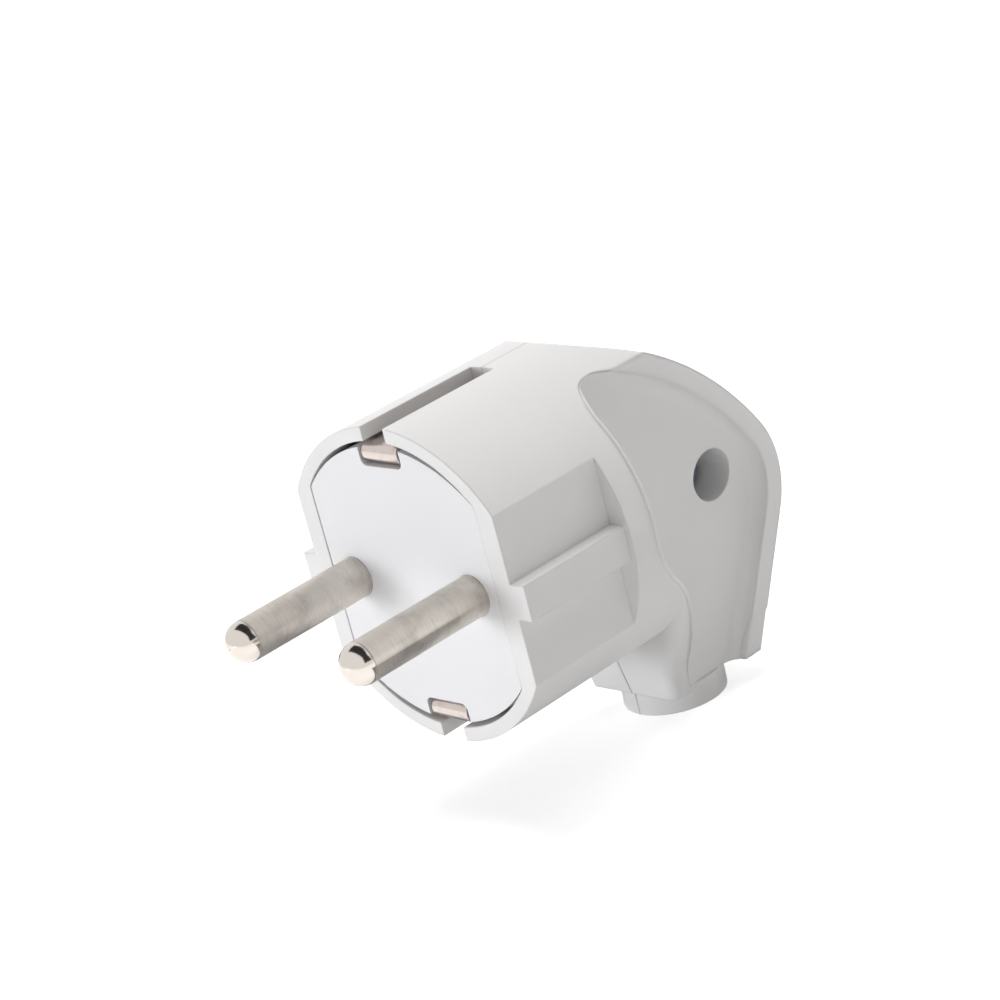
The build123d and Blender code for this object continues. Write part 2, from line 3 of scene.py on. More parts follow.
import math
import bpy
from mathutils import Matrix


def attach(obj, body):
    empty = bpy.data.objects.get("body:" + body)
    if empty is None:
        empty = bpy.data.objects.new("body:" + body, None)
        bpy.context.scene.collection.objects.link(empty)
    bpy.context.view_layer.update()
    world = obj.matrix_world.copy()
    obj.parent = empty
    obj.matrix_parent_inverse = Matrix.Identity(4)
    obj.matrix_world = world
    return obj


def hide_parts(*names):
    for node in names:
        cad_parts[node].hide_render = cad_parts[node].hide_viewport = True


bl_info = {
    "name": "Angled earthed plug",
    "version": (1, 0, 0),
    "blender": (4, 5, 0),
    "location": "View3D > Sidebar > Plug",
    "description": "Finishes, fine forms, floor, lamps and camera for an angled earthed plug",
    "category": "Object",
}

import bpy
import numpy as np
from mathutils import Matrix, Vector

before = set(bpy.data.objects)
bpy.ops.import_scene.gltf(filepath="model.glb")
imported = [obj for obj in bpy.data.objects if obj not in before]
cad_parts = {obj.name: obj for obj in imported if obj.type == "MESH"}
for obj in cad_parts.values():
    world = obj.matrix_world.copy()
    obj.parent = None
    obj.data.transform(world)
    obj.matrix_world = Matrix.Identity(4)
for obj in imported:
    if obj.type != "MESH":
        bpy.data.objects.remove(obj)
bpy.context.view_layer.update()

# Lengths are in mm and reach Blender's metres through MM
MM = 0.001

# Outline of the casing on its parting plane, as depths and heights
BARREL_RADIUS = 18.75
SLOT_END = 17.0
CREASE_DEPTH = 24.1
BACK_RADIUS = 47.0
BACK_SLOPE = math.radians(20.0)
BACK_ROUND = 11.5
BACK_LEAN = math.radians(25.5)
BACK_FOOT = 41.0
BASE_HEIGHT = -26.2
NECK_TOP = 25.1
NECK_FOOT = 26.7
COLLAR_DEPTH = 33.4
COLLAR_RADIUS = 6.25
COLLAR_FOOT = -29.2

# S-shaped front edge of the finger recess, as depths and heights, and the neck's side that it crosses
LIP_DEPTH = 19.1
LIP_TOP = 16.15
LIP_CORNER = 3.8
LIP_CORNER_START = math.radians(125.0)
LIP_STRAIGHT_FOOT = -1.0
LIP_SWEEP = math.radians(44.0)
LIP_BENDS = (9.0, 27.0)
NECK_HALF_WIDTH = 7.1
NECK_TANGENT = math.radians(33.0)
NECK_SIDE_ROUND = 8.0

# Recess lip in shares of its radius, and the share of its length that tapers at each end
LIP_SINK = 0.25
LIP_SHIFT = 0.7
LIP_TAPER = 0.12
LIP_POINT = 0.02

# Rim behind the finger recess, where it runs down the neck's back corner
RIM_WIDTH = 2.6
RIM_FOOT = 8.0
RIM_DRAFT = math.radians(3.7)
RIM_CORE = 6.0
RIM_FOOT_TOP = -20.0
RIM_SINK = 0.01

# Where the edges of the back turn from the edge round to the spine round, out from the middle and in depth
SPINE_OUT = (7.5, 9.5)
SPINE_DEPTH = (CREASE_DEPTH - 1, CREASE_DEPTH + 3)

# Contact pins: their axes, their radius, and the depth in front of the face where the domed tip starts
PIN_X = 9.5
PIN_RADIUS = 2.4
DOME_START = -16.6
FACE_DEPTH = 0.08

# Lip round a pin, from inside its gap over the top to the face: reach beyond the pin and rise over the face
SEAT_REACH = (0.02, 0.03, 0.07, 0.2, 0.36, 0.4)
SEAT_RISE = (-0.3, 0.02, 0.045, 0.045, 0.02, -0.05)

# Section of the parting line's strip, in shares of its half width and of its lip's height
SEAM_ACROSS = (-1.0, -0.5, -0.15, 0.0, 0.15, 0.5, 1.0)
SEAM_RISE = (-0.3, 1.0, 0.7, 0.1, 0.7, 1.0, -0.3)

# Earth strap, as depths and heights: the rolled nose, the blade along the barrel and the bridge
STRAP_WIDTH = 5.7
STRAP_THICKNESS = 0.6
STRAP_EDGE = 0.16
STRAP_TOP = 16.75
STRAP_BACK = 17.35
STRAP_BEND = 1.2
NOSE_RADIUS = 1.32
NOSE_FRONT = 0.05
NOSE_RETURN = 0.7

# Floor in metres, its matt tone as light and its glow to the eye
FLOOR_HALF = 3.0
FLOOR_TONE = 0.9
FLOOR_GLOW = 0.55

# Lamps, in metres: name, place, size, the setting that holds the power, colour
WHITE = (1.0, 1.0, 1.0)
LAMP_AIM = (0.0, 0.015, 0.0)
LAMPS = (
    ("front_lamp", (-0.22, -0.78, 0.03), 0.24, "key", (0.955, 0.972, 1.0)),
    ("side_lamp", (0.72, -0.05, 0.22), 0.4, "fill", WHITE),
    ("top_lamp", (-0.12, 0.10, 0.80), 0.5, "top", WHITE),
    ("back_lamp", (0.15, 0.70, 0.50), 0.4, "back", WHITE),
)

# Cards that glow grey and that only reflections show, painted dark reflections on the metal and the gloss, in metres:
# name, tone, corners
# Height of the card that paints the shaded floor under the plug into the pins' reflections, just above the floor
FLOOR_SHADE_CARD_HEIGHT = COLLAR_FOOT * MM + 0.0005
REFLECTION_CARDS = (
    ("overhead_card", 0.04, [(-0.3, -0.13, 0.4), (0.4, -0.13, 0.4), (0.4, 0.16, 0.4), (-0.3, 0.16, 0.4)]),
    ("side_card", 0.04, [(0.4, -0.13, 0.4), (0.4, -0.13, 0.1), (0.4, 0.16, 0.1), (0.4, 0.16, 0.4)]),
    # Painted reflection of the shaded floor under and behind the plug, a lighter grey than the dark cards
    (
        "low_card",
        0.28,
        [(-0.04, -0.004, FLOOR_SHADE_CARD_HEIGHT), (0.1, -0.004, FLOOR_SHADE_CARD_HEIGHT), (0.1, 0.1, FLOOR_SHADE_CARD_HEIGHT), (-0.04, 0.1, FLOOR_SHADE_CARD_HEIGHT)],
    ),
)

# Camera: azimuth, elevation and roll, its distance, and in pixels its focal length and the plug's origin
CAMERA_TURN = tuple(math.radians(angle) for angle in (50.458, 19.53, -14.682))
CAMERA_DISTANCE = 340.695
CAMERA_FOCAL = 3138.828
CAMERA_ORIGIN = (413.914, 586.046)
PICTURE = 1000
SENSOR = 36.0


# ---- Colours, nodes and meshes


def linear(hex_colour):
    """One sRGB hex value as linear RGBA."""
    parts = [int(hex_colour[i : i + 2], 16) / 255 for i in (1, 3, 5)]
    return (*[c / 12.92 if c <= 0.04045 else ((c + 0.055) / 1.055) ** 2.4 for c in parts], 1.0)


def add_node(tree, kind, settings=None, links=None):
    """Adds a node, sets its options and open sockets, and links the sockets that are fed."""
    node = tree.nodes.new(kind)
    for key, value in (settings or {}).items():
        if isinstance(key, int) or key in node.inputs:
            node.inputs[key].default_value = value
        else:
            setattr(node, key, value)
    for key, source in (links or {}).items():
        tree.links.new(source, node.inputs[key])
    return node


def new_material(name):
    """An empty node material with its output."""
    material = bpy.data.materials.new(name)
    material.use_nodes = True
    tree = material.node_tree
    tree.nodes.clear()
    return material, tree, add_node(tree, "ShaderNodeOutputMaterial")


def object_place(tree):
    """The object coordinates that patterns read."""
    return add_node(tree, "ShaderNodeTexCoord").outputs["Object"]


def noise(tree, place, size_mm, detail, roughness=0.5):
    """A noise pattern with features of one size."""
    settings = {"Scale": 1 / (size_mm * MM), "Detail": detail, "Roughness": roughness}
    return add_node(tree, "ShaderNodeTexNoise", settings, {"Vector": place}).outputs["Fac"]


def drawn_noise(tree, place, sizes_mm, detail, roughness=0.5):
    """A noise pattern with features drawn out to one size along each axis."""
    scale = {"Scale": tuple(1 / (size * MM) for size in sizes_mm)}
    drawn = add_node(tree, "ShaderNodeMapping", scale, {"Vector": place}).outputs[0]
    settings = {"Scale": 1.0, "Detail": detail, "Roughness": roughness}
    return add_node(tree, "ShaderNodeTexNoise", settings, {"Vector": drawn}).outputs["Fac"]


def along(tree, place, axis):
    """One of a place's three coordinates."""
    return add_node(tree, "ShaderNodeSeparateXYZ", {}, {"Vector": place}).outputs[axis]


def remap(tree, source, low, high, to_low=0.0, to_high=1.0):
    """Maps low and high of a source to to_low and to_high, and holds it there outside them."""
    settings = {"From Min": low, "From Max": high, "To Min": to_low, "To Max": to_high}
    return add_node(tree, "ShaderNodeMapRange", settings, {"Value": source}).outputs["Result"]


def combine(tree, operation, first, second=None):
    """A Math node on one socket, on two, or on a socket and a number."""
    settings, links = {"operation": operation}, {0: first}
    if isinstance(second, float):
        settings[1] = second
    elif second is not None:
        links[1] = second
    return add_node(tree, "ShaderNodeMath", settings, links).outputs[0]


def mixed(tree, colour, shade, share):
    """A colour that turns to its shade by a share."""
    return add_node(tree, "ShaderNodeMix", {"data_type": "RGBA", 6: colour, 7: shade}, {0: share}).outputs[2]


def rounded_edges(tree, radius_mm, samples=6):
    """The node whose normal rounds every edge to a radius."""
    return add_node(tree, "ShaderNodeBevel", {"samples": samples, "Radius": radius_mm * MM})


def relief(tree, height, depth_mm, edge=None):
    """The surface's normal under a pattern of a real depth, on top of rounded edges."""
    links = {"Height": height}
    if edge:
        links["Normal"] = edge.outputs["Normal"]
    return add_node(tree, "ShaderNodeBump", {"Strength": 1.0, "Distance": depth_mm * MM}, links).outputs["Normal"]


def set_surface(tree, output, settings, links):
    """Puts the surface's shader on the output."""
    shader = add_node(tree, "ShaderNodeBsdfPrincipled", settings, links)
    tree.links.new(shader.outputs["BSDF"], output.inputs["Surface"])


def dress(node_name, material):
    """Puts a material on a node of the frame."""
    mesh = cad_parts[node_name].data
    mesh.materials.clear()
    mesh.materials.append(material)


def grid_object(name, points, material, closed=False, ends=False):
    """A surface from a grid of points, rows by columns, as a piece that rides with the plug.
    Neighbouring points make one quad each, closed joins the last column to the first, and ends fills the
    first and the last row."""
    rows, columns = points.shape[:2]
    index = np.arange(rows * columns).reshape(rows, columns)
    if closed:
        index = np.concatenate([index, index[:, :1]], axis=1)
    quads = np.stack([index[:-1, :-1], index[1:, :-1], index[1:, 1:], index[:-1, 1:]], axis=-1)
    faces = quads.reshape(-1, 4).tolist()
    if ends:
        last = index[-1, :columns].tolist()
        faces += [index[0, :columns].tolist(), last[::-1]]
    mesh = bpy.data.meshes.new(name)
    mesh.from_pydata(points.reshape(-1, 3).tolist(), [], faces)
    mesh.polygons.foreach_set("use_smooth", np.array([len(face) == 4 for face in faces]))
    mesh.materials.append(material)
    mesh.update()
    piece = bpy.data.objects.new(name, mesh)
    bpy.context.scene.collection.objects.link(piece)
    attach(piece, "root")
    return piece


def stage_object(name, corners, material):
    """One flat quad of the stage, which is no part of the plug."""
    mesh = bpy.data.meshes.new(name)
    mesh.from_pydata(corners, [], [(0, 1, 2, 3)])
    mesh.materials.append(material)
    sheet = bpy.data.objects.new(name, mesh)
    bpy.context.scene.collection.objects.link(sheet)
    return sheet


# ---- Finishes


def spine_radius(tree, place, edge_mm, spine_mm):
    """Radius of the edges: the edge round, growing to the spine round wide of the screw's recess and behind
    the barrel."""
    out = combine(tree, "ABSOLUTE", along(tree, place, "X"))
    wide = remap(tree, out, SPINE_OUT[0] * MM, SPINE_OUT[1] * MM)
    behind = remap(tree, along(tree, place, "Y"), SPINE_DEPTH[0] * MM, SPINE_DEPTH[1] * MM)
    return remap(tree, combine(tree, "MULTIPLY", wide, behind), 0.0, 1.0, edge_mm * MM, spine_mm * MM)


def moulded_polyamide(name, colour, shade, roughness, grain_mm, grain_depth_mm, edge_mm, spine_mm=0.0):
    """Injection-moulded polyamide from a satin tool: an even opaque white with broad faint clouds, a fine
    grain that softens the highlight, and small rounds on every edge where the tool's parts meet. A spine
    round softens the long edges of the back."""
    material, tree, output = new_material(name)
    place = object_place(tree)
    # Clouds in the white, 14 mm across, and patches where the tool's polish differs, 3 mm across
    tone = mixed(tree, colour, shade, noise(tree, place, 14, 2.0))
    gloss = remap(tree, noise(tree, place, 3, 3.0), 0.0, 1.0, roughness - 0.05, roughness + 0.05)
    edge = rounded_edges(tree, edge_mm, 8)
    if spine_mm:
        tree.links.new(spine_radius(tree, place, edge_mm, spine_mm), edge.inputs["Radius"])
    normal = relief(tree, noise(tree, place, grain_mm, 2.0), grain_depth_mm, edge)
    # Light goes half a millimetre into the white and comes out a little warmer
    body = {
        "IOR": 1.53,
        "Subsurface Weight": 0.12,
        "Subsurface Radius": (1.0, 0.95, 0.9),
        "Subsurface Scale": 0.6 * MM,
    }
    set_surface(tree, output, body, {"Base Color": tone, "Roughness": gloss, "Normal": normal})
    return material


def brushed_nickel_pin(name, colour, stain, scratch_mm, dome_start_mm):
    """Turned brass pin under nickel, finished with emery round the shank: fine scratches that run round it
    and break the reflections, darker handling stains, and a polished dome that mirrors, behind a dark ring."""
    material, tree, output = new_material(name)
    place = object_place(tree)
    # A scratch is a tenth of a millimetre wide and a few millimetres long round the pin
    scratch = drawn_noise(tree, place, (2.5, scratch_mm, 2.5), 3.0, 0.7)
    depth = along(tree, place, "Y")
    shank = remap(tree, depth, (dome_start_mm - 0.05) * MM, dome_start_mm * MM)
    # Dark ring in the colour, 0.15 mm wide, on the shank just behind where the dome starts
    from_ring = combine(tree, "ABSOLUTE", combine(tree, "SUBTRACT", depth, (dome_start_mm + 0.06) * MM))
    ring = remap(tree, from_ring, 0.04 * MM, 0.1 * MM, 0.35, 0.0)
    # Stains from handling, 3 mm across, and the tarnish in the deeper scratches
    stains = remap(tree, noise(tree, place, 3.2, 5.0, 0.6), 0.48, 0.75, 0.0, 0.34)
    tarnish = remap(tree, scratch, 0.45, 0.75, 0.0, 0.22)
    worn = combine(tree, "MULTIPLY", combine(tree, "ADD", stains, tarnish), shank)
    tone = mixed(tree, colour, stain, combine(tree, "ADD", worn, ring))
    gloss = remap(tree, shank, 0.0, 1.0, 0.14, 0.36)
    normal = relief(tree, combine(tree, "MULTIPLY", scratch, shank), 0.009)
    set_surface(tree, output, {"Metallic": 1.0}, {"Base Color": tone, "Roughness": gloss, "Normal": normal})
    return material


def rolled_nickel_strip(name, colour, shade, line_mm):
    """Spring strip under nickel: rolled bright, with fine lines along the strip that soften its mirror, a
    warm rosy cast and small dull spots."""
    material, tree, output = new_material(name)
    place = object_place(tree)
    lines = drawn_noise(tree, place, (line_mm, 3, 3), 2.0)
    # Dull spots just under a millimetre across
    dull = remap(tree, noise(tree, place, 0.9, 3.0), 0.5, 0.8, 0.0, 0.3)
    tone = mixed(tree, colour, shade, dull)
    gloss = remap(tree, lines, 0.0, 1.0, 0.14, 0.3)
    normal = relief(tree, lines, 0.003, rounded_edges(tree, 0.1))
    set_surface(tree, output, {"Metallic": 1.0}, {"Base Color": tone, "Roughness": gloss, "Normal": normal})
    return material


def plated_metal(name, colour, shade, roughness, mottle_mm):
    """Plated small metal part: an even sheen broken by a fine crystalline mottle and darker handling marks."""
    material, tree, output = new_material(name)
    place = object_place(tree)
    cells = add_node(tree, "ShaderNodeTexVoronoi", {"Scale": 1 / (mottle_mm * MM)}, {"Vector": place})
    mottle = cells.outputs["Distance"]
    # Handling marks, 1.5 mm across
    tone = mixed(tree, colour, shade, noise(tree, place, 1.5, 4.0))
    gloss = remap(tree, mottle, 0.0, 1.0, roughness - 0.06, roughness + 0.08)
    normal = relief(tree, mottle, 0.002, rounded_edges(tree, 0.12))
    set_surface(tree, output, {"Metallic": 1.0}, {"Base Color": tone, "Roughness": gloss, "Normal": normal})
    return material


def seam_plastic(name, colour, line, hairline_mm):
    """The casing's plastic where the two halves meet: a hairline between two pale lips, dark in its middle
    and faded at hairline_mm to each side."""
    material, tree, output = new_material(name)
    off_line = combine(tree, "ABSOLUTE", along(tree, object_place(tree), "X"))
    tone = mixed(tree, colour, line, remap(tree, off_line, 0.0, hairline_mm * MM, 1.0, 0.0))
    set_surface(tree, output, {"IOR": 1.53, "Roughness": 0.45}, {"Base Color": tone})
    return material


# ---- New surfaces


def on_circle(angle):
    """Points of the unit circle at the angles, as rows of cosine and sine."""
    return np.stack([np.cos(angle), np.sin(angle)], axis=1)


def back_outline():
    """Outer line of the casing on the parting plane, from the end of the upper slot over the crease, the
    large arc, the round and the foot, under the base to the collar and down its back.
    The arc is a circle that leaves the crease at its slope. The round is tangent to it and to the foot."""
    centre = np.array(
        [CREASE_DEPTH - BACK_RADIUS * math.sin(BACK_SLOPE), BARREL_RADIUS - BACK_RADIUS * math.cos(BACK_SLOPE)]
    )
    lean = np.array([math.sin(BACK_LEAN), math.cos(BACK_LEAN)])
    outward = np.array([lean[1], -lean[0]])
    foot = np.array([BACK_FOOT, BASE_HEIGHT])
    # The round's centre is its radius inside the foot line and inside the arc's circle
    base = foot - BACK_ROUND * outward - centre
    rise = base @ lean
    run = -rise + math.sqrt(rise**2 - base @ base + (BACK_RADIUS - BACK_ROUND) ** 2)
    round_centre = centre + base + run * lean
    first = math.atan2(*(round_centre - centre)[::-1])
    last = math.atan2(*outward[::-1])
    collar_back = COLLAR_DEPTH + COLLAR_RADIUS
    return np.concatenate(
        [
            np.stack([np.linspace(SLOT_END, CREASE_DEPTH, 8)[:-1], np.full(7, BARREL_RADIUS)], axis=1),
            centre + BACK_RADIUS * on_circle(np.linspace(math.pi / 2 - BACK_SLOPE, first, 60)),
            round_centre + BACK_ROUND * on_circle(np.linspace(first, last, 30))[1:],
            np.array([foot, [collar_back, BASE_HEIGHT], [collar_back, COLLAR_FOOT]]),
        ]
    )


def front_outline():
    """Outer line of the casing on the parting plane from the end of the lower slot along the barrel, down
    the neck's front, under the base to the collar and down its front."""
    collar_front = COLLAR_DEPTH - COLLAR_RADIUS
    return np.array(
        [
            [SLOT_END, -BARREL_RADIUS],
            [NECK_TOP, -BARREL_RADIUS],
            [NECK_FOOT, BASE_HEIGHT],
            [collar_front, BASE_HEIGHT],
            [collar_front, COLLAR_FOOT],
        ]
    )


def seam_strip(name, outline, side, half_mm, lip_mm, material):
    """A strip carried along an outline on the parting plane. Across it two low lips stand at half its half
    width, with a hairline valley between them and feathered edges. side turns it to face outwards."""
    run = np.gradient(outline, axis=0)
    run /= np.linalg.norm(run, axis=1, keepdims=True)
    out = np.stack([-run[:, 1], run[:, 0]], axis=1) * side
    across = np.array(SEAM_ACROSS) * half_mm
    rise = np.array(SEAM_RISE) * lip_mm
    plane = outline[:, None, :] + out[:, None, :] * rise[None, :, None]
    x = np.broadcast_to(across[None, :, None], plane.shape[:2] + (1,))
    points = np.concatenate([x, plane], axis=-1) * MM
    return grid_object(name, points if side < 0 else points[:, ::-1], material)


def strap_path():
    """Middle line of the strap with its outward normals: from the end of the upper nose's return round the
    half circle of the nose, along the blade, round the bend and down the bridge, and the same mirrored."""
    half = STRAP_THICKNESS / 2
    nose = np.array([NOSE_FRONT + NOSE_RADIUS, STRAP_TOP - NOSE_RADIUS])
    bend = np.array([STRAP_BACK - STRAP_BEND, STRAP_TOP - STRAP_BEND])
    roll = on_circle(np.radians(np.linspace(270.0, 90.0, 33)))
    turn = on_circle(np.radians(np.linspace(90.0, 0.0, 17)))
    start = nose + np.array([NOSE_RETURN, half - NOSE_RADIUS])
    upper = np.concatenate([start[None], nose + (NOSE_RADIUS - half) * roll, bend + (STRAP_BEND - half) * turn])
    out = np.concatenate([np.array([[0.0, -1.0]]), roll, turn])
    mirror = np.array([1.0, -1.0])
    return np.concatenate([upper, upper[::-1] * mirror]), np.concatenate([out, out[::-1] * mirror])


def rounded_section(width, thickness, edge, steps=5):
    """Outline of a flat strip: a rectangle whose corners are quarter circles of the edge radius."""
    quarter = edge * on_circle(np.radians(np.linspace(0.0, 90.0, steps)))
    first = np.array([width / 2 - edge, thickness / 2 - edge]) + quarter
    flip_x, flip_y = np.array([-1.0, 1.0]), np.array([1.0, -1.0])
    return np.concatenate([first, (first * flip_x)[::-1], first * flip_x * flip_y, (first * flip_y)[::-1]])


def strap_object(name, material):
    """The strap: the strip's rounded section carried along the path, each point at path plus normal times
    the section's second coordinate, with both ends closed."""
    path, out = strap_path()
    section = rounded_section(STRAP_WIDTH, STRAP_THICKNESS, STRAP_EDGE)
    plane = path[:, None, :] + out[:, None, :] * section[None, :, 1, None]
    x = np.broadcast_to(section[None, :, 0, None], plane.shape[:2] + (1,))
    points = np.concatenate([x, plane], axis=-1) * MM
    piece = grid_object(name, points, material, closed=True, ends=True)
    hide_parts("earth_strap")
    return piece


def pin_seat(name, axis_x, material):
    """The face's lip that closes round a pin: a profile of radius and depth turned about the pin's axis."""
    radius = PIN_RADIUS + np.array(SEAT_REACH)
    depth = FACE_DEPTH - np.array(SEAT_RISE)
    angle = np.linspace(0.0, 2 * math.pi, 96, endpoint=False)
    x = axis_x + radius[:, None] * np.cos(angle)
    z = radius[:, None] * np.sin(angle)
    y = np.broadcast_to(depth[:, None], x.shape)
    return grid_object(name, np.stack([x, y, z], axis=-1) * MM, material, closed=True)


def side_surface(height):
    """Half width of the casing at a height: the barrel's circle, then the neck's flank as its tangent, the
    round at the knee and the upright foot."""
    start = -BARREL_RADIUS * math.sin(NECK_TANGENT)
    flank_x = BARREL_RADIUS * math.cos(NECK_TANGENT)
    knee = start - (flank_x - NECK_HALF_WIDTH) / math.tan(NECK_TANGENT)
    reach = NECK_SIDE_ROUND * math.tan(NECK_TANGENT / 2)
    circle = np.sqrt(np.clip(BARREL_RADIUS**2 - height**2, 0, None))
    flank = flank_x - (start - height) * math.tan(NECK_TANGENT)
    drop = np.clip(height - (knee - reach), 0, NECK_SIDE_ROUND)
    bend = NECK_HALF_WIDTH + NECK_SIDE_ROUND - np.sqrt(NECK_SIDE_ROUND**2 - drop**2)
    return np.where(height > start, circle, np.where(height > knee + reach * math.cos(NECK_TANGENT), flank, bend))


def lip_path():
    """The recess's front edge on the casing: a quarter round at its top, a straight run, and two bends that
    turn it back by the sweep and upright again. Each point's x is the casing's half width there."""
    corner = np.linspace(LIP_CORNER_START, math.pi, 24)
    top = np.array([LIP_DEPTH, LIP_TOP]) + LIP_CORNER * (on_circle(corner) + np.array([1.0, -1.0]))
    run = np.linspace(LIP_TOP - LIP_CORNER, LIP_STRAIGHT_FOOT, 40)[1:-1]
    straight = np.stack([np.full_like(run, LIP_DEPTH), run], axis=1)
    turn = np.linspace(0.0, LIP_SWEEP, 24)
    upper, lower = LIP_BENDS
    first = np.array([LIP_DEPTH, LIP_STRAIGHT_FOOT]) + upper * np.stack([1 - np.cos(turn), -np.sin(turn)], axis=1)
    sweep_end = np.array([math.cos(LIP_SWEEP), math.sin(LIP_SWEEP)])
    second = first[-1] + lower * (on_circle(LIP_SWEEP - turn[1:]) - sweep_end)
    line = np.concatenate([top, straight, first, second])
    line = line[line[:, 1] > BASE_HEIGHT + 0.1]
    return np.column_stack([side_surface(line[:, 1]), line])


def recess_lip(name, side, radius_mm, material):
    """A fine rounded lip along the recess's front edge: a circle carried along the path, sunk by a share of
    its radius into the casing, shifted back into the recess and drawn to a point at both ends."""
    path = lip_path()
    tangent = np.gradient(path, axis=0)
    tangent /= np.linalg.norm(tangent, axis=1, keepdims=True)
    across = np.cross(tangent, np.array([1.0, 0.0, 0.0]))
    across /= np.linalg.norm(across, axis=1, keepdims=True)
    out = np.cross(across, tangent)
    share = np.linspace(0.0, 1.0, len(path))
    radius = radius_mm * np.sqrt(np.clip(np.minimum(share, 1 - share) / LIP_TAPER, LIP_POINT**2, 1.0))
    angle = np.linspace(0.0, 2 * math.pi, 12, endpoint=False)
    ring = np.cos(angle)[None, :, None] * out[:, None, :] + np.sin(angle)[None, :, None] * across[:, None, :]
    middle = path + np.array([0.0, LIP_SHIFT, 0.0]) * radius_mm - LIP_SINK * radius_mm * out
    points = (middle[:, None, :] + ring * radius[:, None, None]) * np.array([side, 1.0, 1.0])
    return grid_object(name, (points if side > 0 else points[:, ::-1]) * MM, material, True, True)


def rim_foot(name, side, edge_mm, material):
    """The foot of the rim: at each height a rectangle from inside the neck out to the rim's leaning side,
    between the rim's inner line and the casing's back, with rounded corners, sunk a little where both meet."""
    height = np.linspace(BASE_HEIGHT, RIM_FOOT_TOP, 12)
    rise = height - BASE_HEIGHT
    outer = BACK_FOOT + math.tan(BACK_LEAN) * rise - RIM_SINK
    inner = outer - RIM_WIDTH / math.cos(BACK_LEAN) + 2 * RIM_SINK
    reach = RIM_FOOT + math.tan(RIM_DRAFT) * rise - RIM_SINK
    angle = np.radians(np.linspace(0.0, 90.0, 6))
    corner_x = reach[:, None] - edge_mm * (1 - np.cos(angle))
    corner_out = outer[:, None] - edge_mm * (1 - np.sin(angle))
    corner_in = inner[:, None] + edge_mm * (1 - np.sin(angle))
    core = np.full((len(height), 1), RIM_CORE)
    # Round the section: the inner side outwards, its corner, the leaning side, the outer corner and back
    x = np.concatenate([core, corner_x[:, ::-1], corner_x, core], axis=1)
    y = np.concatenate([inner[:, None], corner_in[:, ::-1], corner_out, outer[:, None]], axis=1)
    z = np.broadcast_to(height[:, None], x.shape)
    points = np.stack([x * side, y, z], axis=-1) * MM
    return grid_object(name, points if side > 0 else points[:, ::-1], material, True, True)


# ---- Sizes and colours


class PlugFinishSettings(bpy.types.PropertyGroup):
    """Colours of the plug's plastics and metals."""

    casing_colour: bpy.props.FloatVectorProperty(
        name="Casing", description="White of the casing", subtype="COLOR", size=4, default=linear("#EEEDEC")
    )
    carrier_colour: bpy.props.FloatVectorProperty(
        name="Carrier", description="White of the contact carrier", subtype="COLOR", size=4, default=linear("#F0F0F2")
    )
    pin_colour: bpy.props.FloatVectorProperty(
        name="Pins", description="Nickel of the contact pins", subtype="COLOR", size=4, default=linear("#DAD3CB")
    )
    strap_colour: bpy.props.FloatVectorProperty(
        name="Earth strap", description="Nickel of the earth strap", subtype="COLOR", size=4, default=linear("#D0C5BF")
    )
    screw_colour: bpy.props.FloatVectorProperty(
        name="Screws", description="Zinc of the screws", subtype="COLOR", size=4, default=linear("#AEB7C0")
    )
    brass_colour: bpy.props.FloatVectorProperty(
        name="Brass", description="Bare brass of nut and plate", subtype="COLOR", size=4, default=linear("#C8A45A")
    )
    clamp_colour: bpy.props.FloatVectorProperty(
        name="Cord clamp", description="Plastic of the cord clamp", subtype="COLOR", size=4, default=linear("#DCDEE0")
    )


class PlugDetailSettings(bpy.types.PropertyGroup):
    """Sizes of the fine surface detail."""

    edge_round: bpy.props.FloatProperty(
        name="Edge round", description="Radius of the moulded edges", unit="LENGTH", default=0.3 * MM
    )
    spine_round: bpy.props.FloatProperty(
        name="Back edge round", description="Radius of the long edges of the back", unit="LENGTH", default=1.0 * MM
    )
    lip_radius: bpy.props.FloatProperty(
        name="Recess lip", description="Radius of the finger recess's front lip", unit="LENGTH", default=0.25 * MM
    )
    seam_width: bpy.props.FloatProperty(
        name="Seam width", description="Width of the parting line's strip", unit="LENGTH", default=0.3 * MM
    )
    seam_lip: bpy.props.FloatProperty(
        name="Seam lip", description="Height of the lips beside the parting line", unit="LENGTH", default=0.03 * MM
    )


class PlugStageSettings(bpy.types.PropertyGroup):
    """Levels of the lamps."""

    ambient: bpy.props.FloatProperty(name="Ambient", description="Strength of the surrounding light", default=0.3)
    key: bpy.props.FloatProperty(name="Key", description="Power of the front lamp", unit="POWER", default=3.9)
    fill: bpy.props.FloatProperty(name="Fill", description="Power of the side lamp", unit="POWER", default=0.15)
    top: bpy.props.FloatProperty(name="Top", description="Power of the top lamp", unit="POWER", default=4.0)
    back: bpy.props.FloatProperty(name="Back", description="Power of the back lamp", unit="POWER", default=1.3)


# ---- Operators


class PLUG_OT_dress_casing(bpy.types.Operator):
    """Gives both halves of the casing their satin white plastic, the recess lips and the rim's feet"""

    bl_idname = "plug.dress_casing"
    bl_label = "Dress casing"

    def execute(self, context):
        finish = context.scene.plug_finish
        detail = context.scene.plug_detail
        material = moulded_polyamide(
            "moulded_polyamide_white",
            tuple(finish.casing_colour),
            linear("#EBE9E8"),
            roughness=0.38,
            grain_mm=0.28,
            grain_depth_mm=0.0025,
            edge_mm=detail.edge_round / MM,
            spine_mm=detail.spine_round / MM,
        )
        dress("casing_right", material)
        dress("casing_left", material)
        for end, side in (("right", 1), ("left", -1)):
            recess_lip("recess_lip_" + end, side, detail.lip_radius / MM, material)
            rim_foot("rim_foot_" + end, side, detail.edge_round / MM, material)
        return {"FINISHED"}


